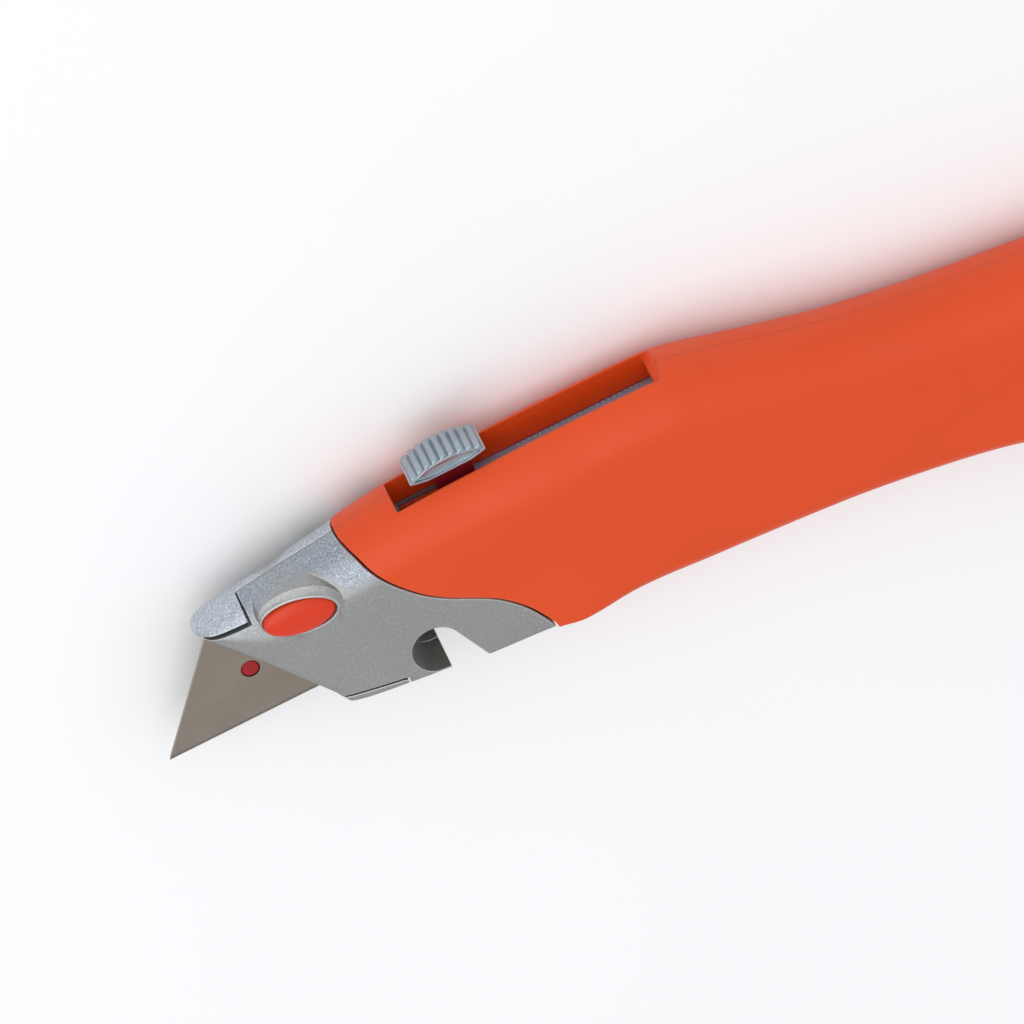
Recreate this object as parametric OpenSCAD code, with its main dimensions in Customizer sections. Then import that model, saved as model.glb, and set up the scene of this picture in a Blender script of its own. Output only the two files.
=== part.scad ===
// Retractable utility knife, lying on its right side.
// X runs from the blade to the tail, Y from the belly to the spine, Z up through the
// thickness. The pieces are drawn with the cutting edge on the line Y = 0 in the plane
// Z = mid_z, and placed() then brings the middle of the flat side to the origin.

/* [Blade] */
// Length of the cutting edge
blade_l = 61; // [60:0.5:61.5]
// Height from the cutting edge to the back
blade_h = 19; // [18.5:0.1:19]
// Thickness of the blade
blade_t = 0.6; // [0.5:0.05:0.65]
// Length that each slanted end takes from the back
blade_slant = 14; // [13.5:0.1:14.5]
// Radius of the blade's holes
blade_hole_r = 1.5; // [1.4:0.05:1.6]
// Distance between the blade's holes
blade_hole_step = 13.5; // [13:0.1:14]

/* [Body] */
// Half the thickness of the handle
half_t = 9; // [8.8:0.1:9.5]
// Height of the rounded spine, from the flat side to the crest
crown_h = 8; // [7.5:0.1:8.5]
// Travel of the blade carrier
travel = 29; // [20:0.5:29]
// Width of the slot in the spine
slot_w = 7.7; // [7.2:0.1:8]

/* [Slider and button] */
// Length of the thumb cap
cap_l = 12.5; // [11:0.5:12.5]
// Width of the thumb cap
cap_w = 6.2; // [5.4:0.1:6.4]
// Number of ribs on the thumb cap
rib_count = 8; // [5:1:9]
// Travel of the thumb cap when it is pressed
press = 1; // [0.6:0.1:1]
// Long diameter of the oval release button
button_l = 11.7; // [10:0.1:12]
// Short diameter of the oval release button
button_w = 6; // [5:0.1:6.2]

/* [Hidden] */
$fn = 48;

mid_z = half_t;              // blade plane above the rest face
rest_at = [59, 4.2];         // middle of the flat side that it lies on
far = 60;                    // reach of the cutting bodies past the part
e = 0.01;                    // overlap that keeps cuts clean
blade_x = -28.1;             // front point of the cutting edge
hole_y = 8.9;                // height of the blade's holes above the edge
slot_x0 = 19;                // front end of the slot in the spine
slot_x1 = 61.8;              // rear end of the slot in the spine
way_end = 64.5;              // rear end of the room for the carrier

// Side outline: crest of the spine, edge of the belly and half thickness, each along X
spine = [[-16.2, 20.6], [-15.4, 21.2], [-12, 21.8], [-7.9, 22.8], [8.9, 25.3],
    [18.7, 26.5], [30, 27], [62, 27.1], [67.4, 25.6], [74, 23.5], [90, 18.8],
    [138, 11.4], [142.5, 9.6], [145, 6], [146, 1]];
belly = [[-16.2, 19.9], [-15, 19.6], [-1.4, 2.4], [0.4, -0.6], [9.4, -1.9],
    [16, -2.6], [21.7, -3.4], [32.8, -4.1], [37.4, -5], [44.2, -4.7], [56.5, -5.7],
    [81, -7.8], [100, -11], [110, -13.7], [118, -17], [126, -20.6], [132, -22.2],
    [137, -22.4], [142, -20], [145, -15], [146, -9]];
half = [[-16.2, 0.9], [-15.9, 1.7], [-15.2, 2.9], [-14.2, 3.8], [-12.6, 4.6], [-10.6, 5.1],
    [-7.9, 5.6], [-1.4, 6.6], [9, 7.8], [33, 8.6], [42, half_t], [138, half_t],
    [143, 8.4], [146, 6]];
stations = [-16.2, -15.9, -15.2, -14.2, -12.6, -10.6, -7.9, -4.6, -1.4, 0.4, 5, 9, 14, 18.7, 24,
    29, 33, 37.4, 44.2, 50, 56.5, 62, 64.5, 67.4, 74, 81, 90, 100, 110, 118, 126,
    132, 137, 140, 142.5, 144.2, 145.4, 146];

// Seam between the metal nose and the handle, from the spine to the belly
seam = [[9, 40], [9.2, 25.4], [10.4, 23.2], [11.6, 20.4], [13.3, 17.4], [16.2, 13.5],
    [20.6, 9.7], [26.5, 5.9], [29.6, 2.8], [31.5, -0.2], [32.8, -3.6], [33.2, -40]];

// Magazine: its own frame starts here and points to the tail
mag_x = 75;
mag_y = 8.6;
mag_tilt = -10;
mag_cut = 64.5;              // where the tail cap starts, along the magazine
mag_half_h = 10.6;
mag_half_t = 2.6;

// Screws: place and height of the bearing face under the head
handle_screw_at = [[15.6, 22.2, 6.3], [67.8, 17, 2.2], [67.8, -1.5, 2.2],
    [117, -12.4, 2.2]];
nose_screw_at = [6.4, 21.2, 6.6];
screw_r = 1.25;
screw_top = mid_z + 4;
head_r = 2.1;
head_h = 1.4;
dowel_at = [3, 22.5];
dowel_r = 0.8;
dowel_half = 2.2;
lanyard_at = [129.5, -17.4];
lanyard_r = 2.1;
lanyard_wall = 0.6;

// Release button
button_at = [-0.85, 18.5];
button_turn = -9;
flange_l = button_l + 1.7;
flange_z0 = mid_z + 3.2;
flange_z1 = mid_z + 4;
button_travel = 1.5;
retainer_z0 = mid_z + 0.5;
retainer_z1 = mid_z + 1.1;
bezel_top = mid_z + 7;
pin_dy = 2.2;                // button pin above the button's centre
pin_r = 0.7;

// Thumb slider
cap_x0 = 22.5;
cap_y = 27.7;
stem_x0 = 25.9;
stem_l = 6.3;
stem_w = 4;
stem_y0 = 14.2;
socket_y0 = 11.2;
stem_mid = stem_x0 + stem_l / 2;
latch_y = 19.5;
latch_r = 0.6;
strip_y0 = 20.5;
strip_y1 = 21.3;
strip_half = 5.6;
strip_x0 = 18;               // ends of the slide track
strip_x1 = 64;

function ring_half(x) =
    let (t = lookup(x, spine), b = lookup(x, belly), h = lookup(x, half),
        c = min(crown_h, 0.6 * (t - b)),
        r = min(x < 33 ? 1.6 : 3, 0.3 * (t - b), 0.6 * h))
    concat(
        [for (a = [0:15:90]) [t - c + c * cos(a), h * sin(a)]],
        [for (a = [0:30:90]) [b + r - r * sin(a), h - r + r * cos(a)]]);

function ring(x) =
    let (near = ring_half(x), n = len(near), low = [lookup(x, belly), 0])
    concat(
        [for (p = near) [x, p[0], mid_z + p[1]]],
        [[x, low[0], mid_z]],
        [for (i = [n - 1:-1:1]) [x, near[i][0], mid_z - near[i][1]]]);

function ellipse(l, w, n = 40) =
    [for (i = [0:n - 1]) [l / 2 * cos(360 * i / n), w / 2 * sin(360 * i / n)]];

// A closed tube of round wire that follows a helix up the Z axis
module coil(r, wire, h, turns) {
    steps = 14;
    sides = 6;
    rings = turns * steps;
    points = [for (i = [0:rings], j = [0:sides - 1])
        let (a = 360 * i / steps, b = 360 * j / sides, q = r + wire * cos(b))
        [q * cos(a), q * sin(a), wire + (h - 2 * wire) * i / rings + wire * sin(b)]];
    faces = concat(
        [[for (j = [0:sides - 1]) j]],
        [for (i = [0:rings - 1], j = [0:sides - 1], k = [0, 1])
            let (a = i * sides + j, b = i * sides + (j + 1) % sides)
            k == 0 ? [a, a + sides, b] : [b, a + sides, b + sides]],
        [[for (j = [sides - 1:-1:0]) rings * sides + j]]);
    polyhedron(points, faces);
}

// The whole outer form of nose and handle
module envelope() {
    n = len(ring(0));
    m = len(stations);
    points = [for (x = stations) each ring(x)];
    faces = concat(
        [[for (j = [0:n - 1]) j]],
        [for (i = [0:m - 2], j = [0:n - 1], k = [0, 1])
            let (a = i * n + j, b = i * n + (j + 1) % n)
            k == 0 ? [a, a + n, b] : [b, a + n, b + n]],
        [[for (j = [n - 1:-1:0]) (m - 1) * n + j]]);
    polyhedron(points, faces);
}

module placed() { translate([-rest_at[0], -rest_at[1], 0]) children(); }
module slab(z0, z1) { translate([0, 0, z0]) linear_extrude(z1 - z0) children(); }
module block(x0, x1, y0, y1, z0, z1) {
    translate([x0, y0, z0]) cube([x1 - x0, y1 - y0, z1 - z0]);
}
module post(x, y, r, z0, z1) { translate([x, y, z0]) cylinder(r = r, h = z1 - z0); }
module in_magazine() { translate([mag_x, mag_y, mid_z]) rotate([0, 0, mag_tilt]) children(); }

module nose_outline() { polygon(concat(seam, [[-far, -40], [-far, 40]])); }
module handle_outline() {
    reach = 50;
    cut = [mag_x + mag_cut * cos(mag_tilt), mag_y + mag_cut * sin(mag_tilt)];
    across = [-sin(mag_tilt), cos(mag_tilt)];
    polygon(concat(seam, [cut - reach * across, cut + reach * across]));
}
module tip_outline(gap = 0) {
    polygon([[-far, 20.1 - gap], [-8.1 + gap, 20.1 - gap], [-8.1 + gap, 40], [-far, 40]]);
}
module lip_outline(gap = 0) {
    polygon([[-1.4 - gap, -9], [9.3 + gap, -9], [9.3 + gap, -0.7 + gap],
        [0.7, 0.55 + gap], [-1.4 - gap, 2.2 + gap]]);
}

// Room for the blade and for the carrier behind it, over their whole travel
module carrier_way() {
    block(-far, way_end, -0.4, blade_h + 0.4, mid_z - 0.45, mid_z + 0.45);
    block(-far, way_end, 6.85, 13.9, mid_z - 2.4, mid_z);
    block(-2.4, way_end, 7, 10.8, mid_z, mid_z + 1);
    slab(mid_z - 3.7, mid_z + 3.7) polygon([[18.8, 18.2], [30.6, 2.4], [31.4, 1.6],
        [way_end, 1.6], [way_end, strip_y0 - 0.05], [18.8, strip_y0 - 0.05]]);
}
module slot_way() {
    block(slot_x0, slot_x1, strip_y0, 40, mid_z - slot_w / 2, mid_z + slot_w / 2);
    block(strip_x0 - 0.1, strip_x1 + 0.2, strip_y0 - 0.1, strip_y1 + 0.1,
        mid_z - strip_half - 0.1, mid_z + strip_half + 0.1);
    translate([slot_x1 - 1.2, 26.2, mid_z - slot_w / 2]) rotate([0, 0, -14])
        cube([6, 4, slot_w]);
}
// Hooked notch that guides a string on to the edge
module notch() {
    slab(-1, 2 * mid_z + 1) polygon([[16, -9], [16, -1.6], [15.3, 2.2], [17.1, 5.75],
        [19, 2.2], [21.7, -2.7], [24.6, -9]]);
    post(15.3, 2.2, 4, -1, 2 * mid_z + 1);
}
module screw_holes(places) {
    for (p = places) {
        post(p[0], p[1], head_r + 0.15, -1, p[2]);
        post(p[0], p[1], screw_r + 0.1, -1, mid_z);
        post(p[0], p[1], screw_r + 0.02, mid_z - e, screw_top + 0.4);
    }
}
module dowel_hole() {
    post(dowel_at[0], dowel_at[1], dowel_r + 0.02, mid_z - dowel_half - 0.1,
        mid_z + dowel_half + 0.1);
}
module lanyard_hole() {
    post(lanyard_at[0], lanyard_at[1], lanyard_r + lanyard_wall + 0.02, -1, 2 * mid_z + 1);
}
module magazine_way() {
    in_magazine() block(-2.3, far + 40, -mag_half_h - 0.3, mag_half_h + 0.3,
        -mag_half_t - 0.3, mag_half_t + 0.3);
}
module at_button() { translate([button_at[0], button_at[1], 0]) rotate([0, 0, button_turn]) children(); }
module button_way() {
    at_button() {
        slab(mid_z + 1, 2 * mid_z + 2) polygon(ellipse(button_l + 0.3, button_w + 0.3));
        slab(mid_z - e, flange_z1 + 0.05) polygon(ellipse(flange_l + 0.4, button_w + 0.3));
    }
}
module button_pin_way() {
    at_button() post(0, pin_dy, pin_r + 0.2, mid_z - 1.6, mid_z + 2);
}

module handle_half(z0, z1) {
    difference() {
        intersection() {
            envelope();
            slab(z0, z1) handle_outline();
        }
        carrier_way();
        slot_way();
        screw_holes(handle_screw_at);
        lanyard_hole();
        magazine_way();
    }
}
module handle_left() { color("#e45832") placed() handle_half(mid_z, 2 * mid_z + 2); }
module handle_right() { color("#e45832") placed() handle_half(-2, mid_z); }

module nose_left() {
    color("silver") placed() difference() {
        union() {
            intersection() {
                envelope();
                slab(mid_z, 2 * mid_z + 2) difference() {
                    nose_outline();
                    tip_outline(0.35);
                    lip_outline(0.2);
                }
            }
            at_button() slab(mid_z + 4, bezel_top)
                polygon(ellipse(button_l + 2.6, button_w + 2.2));
        }
        carrier_way();
        button_way();
        button_pin_way();
        notch();
        screw_holes([nose_screw_at]);
        dowel_hole();
        block(6.8, 13.6, 13.3, 16.7, mid_z, mid_z + 0.8);
    }
}
module nose_right() {
    color("silver") placed() difference() {
        intersection() {
            envelope();
            union() {
                slab(-2, mid_z) nose_outline();
                slab(mid_z - e, 2 * mid_z + 2) union() {
                    tip_outline();
                    lip_outline();
                }
            }
        }
        carrier_way();
        button_pin_way();
        notch();
        screw_holes([nose_screw_at]);
        dowel_hole();
    }
}

module slide_track() {
    pitch = 2;
    color("lightslategray") placed() difference() {
        block(strip_x0, strip_x1, strip_y0, strip_y1, mid_z - strip_half, mid_z + strip_half);
        block(stem_x0 - 0.6, stem_x0 + stem_l + travel + 0.6, strip_y0 - 1, strip_y1 + 1,
            mid_z - stem_w / 2 - 0.3, mid_z + stem_w / 2 + 0.3);
        for (x = [slot_x0 + 2:pitch:slot_x1 - 1], s = [-1, 1])
            block(x, x + pitch / 2, strip_y1 - 0.3, strip_y1 + 1,
                mid_z + s * 3.3 - 0.35, mid_z + s * 3.3 + 0.35);
    }
}

module screw(p) {
    difference() {
        union() {
            post(p[0], p[1], head_r, p[2] - head_h, p[2]);
            post(p[0], p[1], screw_r, p[2] - e, screw_top);
        }
        post(p[0], p[1], 1, p[2] - head_h - 1, p[2] - head_h + 0.9);
    }
}
module handle_screws() { color("dimgray") placed() for (p = handle_screw_at) screw(p); }
module nose_screw() { color("dimgray") placed() screw(nose_screw_at); }
module nose_dowel() {
    color("gray") placed()
        post(dowel_at[0], dowel_at[1], dowel_r, mid_z - dowel_half, mid_z + dowel_half);
}
module lanyard_eyelet() {
    color("silver") placed() difference() {
        post(lanyard_at[0], lanyard_at[1], lanyard_r + lanyard_wall, 0.2, 2 * mid_z - 0.2);
        post(lanyard_at[0], lanyard_at[1], lanyard_r, -1, 2 * mid_z + 1);
    }
}
module blade_guide() {
    color("lightsteelblue") placed() block(7, 13.4, 13.5, 16.5, mid_z + 0.45, mid_z + 0.8);
}

module button_retainer() {
    color("lightsteelblue") placed() at_button() difference() {
        slab(retainer_z0, retainer_z1) polygon(ellipse(flange_l + 0.4, button_w + 0.3));
        post(0, pin_dy, pin_r + 0.2, mid_z, mid_z + 2);
    }
}
module release_spring() {
    color("gray") placed() at_button() translate([0, -0.7, retainer_z1])
        coil(1.6, 0.2, flange_z0 - retainer_z1, 3);
}
module release_button() {
    dome_r = 18;
    color("#e8482a") placed() at_button() difference() {
        union() {
            slab(flange_z0, flange_z1) polygon(ellipse(flange_l, button_w));
            intersection() {
                slab(flange_z1 - e, 2 * mid_z) polygon(ellipse(button_l, button_w));
                translate([0, 0, bezel_top + 0.6 - dome_r]) sphere(r = dome_r);
            }
        }
        post(0, pin_dy, pin_r + 0.01, flange_z0 - 1, flange_z0 + 2);
    }
}
module button_pin() {
    color("gray") placed() at_button() post(0, pin_dy, pin_r, mid_z + 0.6, flange_z0 + 2);
}

module blade_outline() {
    polygon([[0, 0], [blade_l, 0], [blade_l - blade_slant, blade_h], [blade_slant, blade_h]]);
}
module sharp_blade() {
    notch_w = 3.2;
    mid = blade_l / 2;
    difference() {
        linear_extrude(blade_t, center = true) blade_outline();
        for (i = [-1:1]) translate([mid + i * blade_hole_step, hole_y, -1])
            cylinder(r = blade_hole_r, h = 2);
        for (s = [-1, 1]) translate([mid + s * 6.5 - notch_w / 2, blade_h - 2.6, -1])
            cube([notch_w, 4, 2]);
    }
}
module blade() { color("#82786e") placed() translate([blade_x, 0, mid_z]) sharp_blade(); }

module blade_carrier() {
    back = mid_z - blade_t / 2;
    arm_r = 1.75;
    arm_x = blade_x + blade_l / 2 - blade_hole_step;
    color("#b81a20") placed() difference() {
        union() {
            slab(mid_z - 2.1, back) union() {
                translate([arm_x, hole_y]) circle(r = arm_r);
                polygon([[arm_x, hole_y - arm_r], [34.2, hole_y - arm_r], [34.2, 13.5],
                    [-2, 13.5], [-4, hole_y + arm_r], [arm_x, hole_y + arm_r]]);
            }
            slab(mid_z - 3.4, mid_z + 3.4) polygon([[20.1, 17.8], [31.5, 2.4],
                [34.2, 2.4], [34.2, 17.8]]);
            for (i = [-1:1])
                post(blade_x + blade_l / 2 + i * blade_hole_step, hole_y, blade_hole_r - 0.1,
                    back - e, mid_z + blade_t / 2);
        }
        block(stem_x0 - 0.2, stem_x0 + stem_l + 0.2, socket_y0, 30,
            mid_z - stem_w / 2 - 0.15, mid_z + stem_w / 2 + 0.15);
        block(19, 25, 6.9, 10.9, mid_z + blade_t / 2, mid_z + blade_t / 2 + 0.5);
    }
}
module blade_clip() {
    near = mid_z + blade_t / 2;
    color("lightsteelblue") placed() difference() {
        block(-2, 24.9, 7.3, 10.5, near, near + 0.4);
        post(blade_x + blade_l / 2, hole_y, blade_hole_r, near - 1, near + 1);
    }
}

module thumb_cap() {
    crown = 2.8;
    rise = 1.2;
    mid = cap_x0 + cap_l / 2;
    arc_r = (pow(cap_l / 2, 2) + pow(rise, 2)) / (2 * rise);
    half_a = asin(cap_l / 2 / arc_r);
    top = [for (i = [0:10]) let (a = half_a * (1 - i / 5))
        [mid + arc_r * sin(a), cap_y + crown - arc_r + arc_r * cos(a)]];
    color("#96a5af") placed() union() {
        slab(mid_z - cap_w / 2, mid_z + cap_w / 2) polygon(concat(top, [
            [cap_x0, cap_y + 0.6], [cap_x0 + 2.6, cap_y], [cap_x0 + cap_l - 2.6, cap_y],
            [cap_x0 + cap_l, cap_y + 0.6]]));
        for (i = [0:rib_count - 1])
            let (a = half_a * (2 * (i + 0.5) / rib_count - 1) * 0.94)
            post(mid + arc_r * sin(a), cap_y + crown - arc_r + arc_r * cos(a) - 0.1, 0.45,
                mid_z - cap_w / 2 + 0.2, mid_z + cap_w / 2 - 0.2);
    }
}
module thumb_stem() {
    color("#8a1518") placed() difference() {
        block(stem_x0, stem_x0 + stem_l, stem_y0, cap_y, mid_z - stem_w / 2, mid_z + stem_w / 2);
        post(stem_mid, latch_y, latch_r + 0.01, 0, 2 * mid_z);
    }
}
module latch_pin() {
    color("gray") placed() post(stem_mid, latch_y, latch_r, mid_z - 3.3, mid_z + 3.3);
}
module thumb_spring() {
    color("gray") placed() translate([stem_mid, socket_y0, mid_z]) rotate([-90, 0, 0])
        coil(1.4, 0.2, stem_y0 - socket_y0, 4);
}

module magazine_tray() {
    wall = 0.9;
    floor_t = 1.2;
    color("#303030") placed() in_magazine() difference() {
        block(-1.8, mag_cut, -mag_half_h, mag_half_h, -mag_half_t, mag_half_t);
        block(-0.9, blade_l + 0.8, -mag_half_h + wall, mag_half_h - wall,
            -mag_half_t + floor_t, far);
        for (s = [-1, 1]) translate([blade_l + 1.4, s * 6, 0]) rotate([0, 90, 0])
            cylinder(r = dowel_r + 0.02, h = 10);
    }
}
module spare_blades() {
    pitch = blade_t + 0.06;
    color("#82786e") placed() in_magazine() for (i = [0:2])
        translate([0, -blade_h / 2, -mag_half_t + 1.2 + 0.03 + blade_t / 2 + i * pitch])
            sharp_blade();
}
module blade_keeper() {
    color("lightsteelblue") placed() in_magazine()
        block(24, 37, -mag_half_h + 0.95, mag_half_h - 0.95, 1.2, 1.6);
}
module tail_cap() {
    color("#c8431f") placed() difference() {
        envelope();
        in_magazine() block(-2 * far, mag_cut + 0.25, -far, far, -far, far);
        in_magazine() for (s = [-1, 1]) translate([0, s * 6, 0]) rotate([0, 90, 0])
            cylinder(r = dowel_r + 0.02, h = mag_cut + 3.7);
    }
}
module cap_pins() {
    color("gray") placed() in_magazine() for (s = [-1, 1])
        translate([blade_l + 1.5, s * 6, 0]) rotate([0, 90, 0]) cylinder(r = dowel_r, h = 5.5);
}

handle_left();
handle_right();
nose_left();
nose_right();
slide_track();
handle_screws();
nose_screw();
nose_dowel();
lanyard_eyelet();
blade_guide();
button_retainer();
release_spring();
release_button();
button_pin();
blade_carrier();
blade();
blade_clip();
thumb_cap();
thumb_stem();
latch_pin();
thumb_spring();
magazine_tray();
spare_blades();
blade_keeper();
tail_cap();
cap_pins();
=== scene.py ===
import math

import bmesh
import bpy
from bpy.props import FloatProperty, FloatVectorProperty, IntProperty, PointerProperty
from mathutils import Matrix, Vector


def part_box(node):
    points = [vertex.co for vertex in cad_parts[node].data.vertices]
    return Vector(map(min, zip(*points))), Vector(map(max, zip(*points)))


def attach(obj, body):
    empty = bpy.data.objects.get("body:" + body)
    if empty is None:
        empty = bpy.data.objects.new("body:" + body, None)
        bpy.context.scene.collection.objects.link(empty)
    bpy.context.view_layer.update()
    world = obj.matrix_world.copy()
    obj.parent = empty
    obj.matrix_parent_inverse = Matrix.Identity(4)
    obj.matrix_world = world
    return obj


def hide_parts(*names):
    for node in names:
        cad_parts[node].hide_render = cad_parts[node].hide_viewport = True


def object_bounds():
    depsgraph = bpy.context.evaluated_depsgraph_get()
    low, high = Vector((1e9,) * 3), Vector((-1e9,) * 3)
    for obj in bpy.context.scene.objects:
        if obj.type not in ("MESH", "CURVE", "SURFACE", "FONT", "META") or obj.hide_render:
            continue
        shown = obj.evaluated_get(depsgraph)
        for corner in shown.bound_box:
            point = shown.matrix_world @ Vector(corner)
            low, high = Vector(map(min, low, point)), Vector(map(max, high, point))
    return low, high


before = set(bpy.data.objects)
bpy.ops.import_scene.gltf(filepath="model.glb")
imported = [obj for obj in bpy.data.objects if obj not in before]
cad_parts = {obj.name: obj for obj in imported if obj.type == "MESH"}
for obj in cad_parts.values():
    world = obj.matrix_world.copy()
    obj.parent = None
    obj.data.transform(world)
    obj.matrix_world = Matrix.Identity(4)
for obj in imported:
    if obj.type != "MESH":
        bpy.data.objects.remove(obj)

bl_info = {
    "name": "Retractable Utility Knife",
    "version": (1, 0, 0),
    "blender": (4, 5, 0),
    "location": "View3D > Sidebar > Knife",
    "description": "Builds the visible pieces of a retractable utility knife around its CAD frame",
    "category": "Add Mesh",
}

CAD_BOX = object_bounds()
MM = 0.001

# Every piece is drawn in millimetres: X towards the tail from the drawing's zero, Y up from
# the cutting edge, Z out of the left side from the blade's plane. place() moves it home.
BLADE_LOW, BLADE_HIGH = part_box("blade")
BLADE_X = -28.1
ZERO = Vector((BLADE_LOW.x - BLADE_X * MM, BLADE_LOW.y, (BLADE_LOW.z + BLADE_HIGH.z) / 2))

# Outline of nose and handle: crest of the spine, edge of the belly and half thickness along
# X, and the seam between nose and handle
SPINE = [(-16.2, 20.5), (-15.7, 21.0), (-14.6, 21.35), (-12, 21.9), (-7.9, 22.8), (8.9, 25.3),
         (18.7, 26.5), (30, 27), (48, 27.1), (61, 26.9), (67.4, 25.6), (74, 23.5), (82, 21.1),
         (90, 18.9), (104, 16.3), (120, 14.1), (138, 11.4), (142.5, 9.2), (144.8, 6), (146, 0)]
BELLY = [(-16.2, 20.1), (-15.7, 19.8), (-15, 19.4), (-1.4, 2.4), (0.5, -0.7), (9.4, -1.9),
         (16, -2.6), (21.7, -3.4), (32.8, -4.1), (37.4, -4.9), (44.2, -4.7), (50, -5.1),
         (56.5, -5.7), (68, -6.6), (81, -7.8), (94, -9.8), (105, -12.2), (114, -15.4),
         (122, -18.9), (129, -21.4), (135, -22.2), (139, -21.7), (142.6, -19.4), (145, -14.6),
         (146, -8)]
HALF = [(-16.2, 0.5), (-15.95, 1.5), (-15.4, 2.5), (-14.4, 3.6), (-13, 4.4), (-11, 5.05),
        (-9, 5.5), (-1, 6.65), (9, 7.8), (33, 8.6), (42, 9), (137, 9), (141, 8.75),
        (143.6, 8.1), (145.2, 7.1), (146, 6)]
SEAM = [(9.0, 30), (9.15, 25.4), (9.7, 24.3), (10.5, 22.9), (11.5, 20.6), (13.1, 17.7),
        (15.0, 15.0), (17.4, 12.3), (20.3, 10.0), (23.4, 8.1), (26.3, 6.2), (28.4, 4.2),
        (30.1, 2.1), (31.5, -0.3), (32.6, -2.8), (33.2, -6)]

# The line that the magazine slides on: its front end, its tilt and where the shells end on it
MAG = Vector((75.0, 8.6, 0.0))
MAG_TILT = math.radians(-10)
MAG_CUT = 64.5

# The oval release button, its pin, and the boss around it: centre, half axes and turn
BUTTON = (-0.85, 18.5)
BUTTON_LONG = 5.6
BUTTON_SHORT = 2.95
BUTTON_TURN = math.radians(-9)
PIN_OFFSET = 2.2
BUTTON_PIN = (BUTTON[0] - PIN_OFFSET * math.sin(BUTTON_TURN),
              BUTTON[1] + PIN_OFFSET * math.cos(BUTTON_TURN))
BOSS = (BUTTON[0] + 0.55, BUTTON[1] + 0.75)
BOSS_LONG = 6.35
BOSS_SHORT = 4.05

# Screws: centre, and height of the seat under the head
NOSE_SCREW = (6.4, 21.2, -2.4)
HANDLE_SCREWS = [(15.6, 22.2, -2.7), (67.8, 17, -6.8), (67.8, -1.5, -6.8), (117, -12.4, -6.8)]
SEAT_RADIUS = 2.25

# The blade's three holes, which the carrier's pegs fill: the first one's place and their pitch
FIRST_HOLE = (-11.1, 8.9)
HOLE_PITCH = 13.5

# Centre of the lanyard hole, half the blade slot's width, size of the broken edges, and a
# reach past either side
LANYARD = (129.5, -17.4)
SLOT_HALF = 0.45
BREAK = 0.16
FAR = 14.0


# ---- curves and meshes

def smooth_line(points):
    """A function through the points, with no overshoot between them."""
    xs, ys = zip(*points)
    step = [(ys[i + 1] - ys[i]) / (xs[i + 1] - xs[i]) for i in range(len(xs) - 1)]
    slope = [step[0]]
    for a, b in zip(step, step[1:]):
        slope.append(0.0 if a * b <= 0 else 2 * a * b / (a + b))
    slope.append(step[-1])

    def value(x):
        x = min(max(x, xs[0]), xs[-1])
        i = max(k for k in range(len(xs) - 1) if xs[k] <= x)
        h = xs[i + 1] - xs[i]
        t = (x - xs[i]) / h
        return ((1 + 2 * t) * (1 - t) ** 2 * ys[i] + t * (1 - t) ** 2 * h * slope[i]
                + t * t * (3 - 2 * t) * ys[i + 1] + t * t * (t - 1) * h * slope[i + 1])
    return value


spine_at, belly_at, half_at = smooth_line(SPINE), smooth_line(BELLY), smooth_line(HALF)


def blend(x, low, high):
    """Rises smoothly from 0 at low to 1 at high."""
    t = min(max((x - low) / (high - low), 0.0), 1.0)
    return t * t * (3 - 2 * t)


def limits(x, inset):
    """Top, bottom, half thickness and height of the rounded crown of the outer form at x."""
    depth = inset * blend(x, -4, 9)
    top = spine_at(x) - depth
    low = belly_at(x) + depth
    return top, low, half_at(x) - depth, min(8.0, 0.6 * (top - low))


def section(x, inset):
    """The ring of the outer form at x, as (y, z) pairs, starting at the spine's crest."""
    top, low, half, crown = limits(x, inset)
    edge = min(0.8 + 2.2 * blend(x, 34, 52), 0.3 * (top - low), 0.6 * half)
    side = []
    for k in range(25):
        a = math.pi / 2 * k / 24
        side.append((top - crown + crown * math.cos(a), half * math.sin(a)))
    flat_top, flat_low = top - crown, low + edge
    for k in range(1, 8):
        side.append((flat_top + (flat_low - flat_top) * k / 8, half))
    for k in range(9):
        a = math.pi / 2 * k / 8
        side.append((low + edge - edge * math.sin(a), half - edge + edge * math.cos(a)))
    for k in range(1, 4):
        side.append((low, (half - edge) * (1 - k / 4)))
    other = [(y, -z) for y, z in reversed(side[1:])]
    return side + [(low, 0.0)] + other


def surface(x, y, inset):
    """Height of the outer form over the middle plane at a point of the side."""
    top, _, half, crown = limits(x, inset)
    up = min(max((y - top + crown) / crown, 0.0), 1.0)
    return half * math.sqrt(1 - up * up)


def chamfer(obj, line, size, inset=0.0, side=1):
    """Breaks the edge where a cut along the line meets the outer form."""
    points = [Vector((x, y, side * surface(x, y, inset))) for x, y in line]
    rings = []
    for i, point in enumerate(points):
        along = (points[min(i + 1, len(points) - 1)] - points[max(i - 1, 0)]).normalized()
        out = Vector((0, 0, side))
        across = along.cross(out).normalized()
        out = across.cross(along).normalized()
        rings.append([tuple(point + size * v) for v in (out, across, -out, -across)])
    return cut(obj, loft("chamfer", rings))


def between(line, spacing=0.5):
    """The line with more points, no further apart than the spacing."""
    out = [line[0]]
    for (x0, y0), (x1, y1) in zip(line, line[1:]):
        count = max(1, math.ceil(math.hypot(x1 - x0, y1 - y0) / spacing))
        out += [(x0 + (x1 - x0) * k / count, y0 + (y1 - y0) * k / count)
                for k in range(1, count + 1)]
    return out


def stations():
    """Where the outer form is measured along X: close together at the nose and the tail."""
    xs = []
    x, end = SPINE[0][0], SPINE[-1][0]
    while x < end:
        xs.append(x)
        if x < -14:
            x += 0.15
        elif x < -11 or x > 139:
            x += 0.3
        elif x < 40:
            x += 0.7
        else:
            x += 1.1
    return xs + [end]


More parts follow.
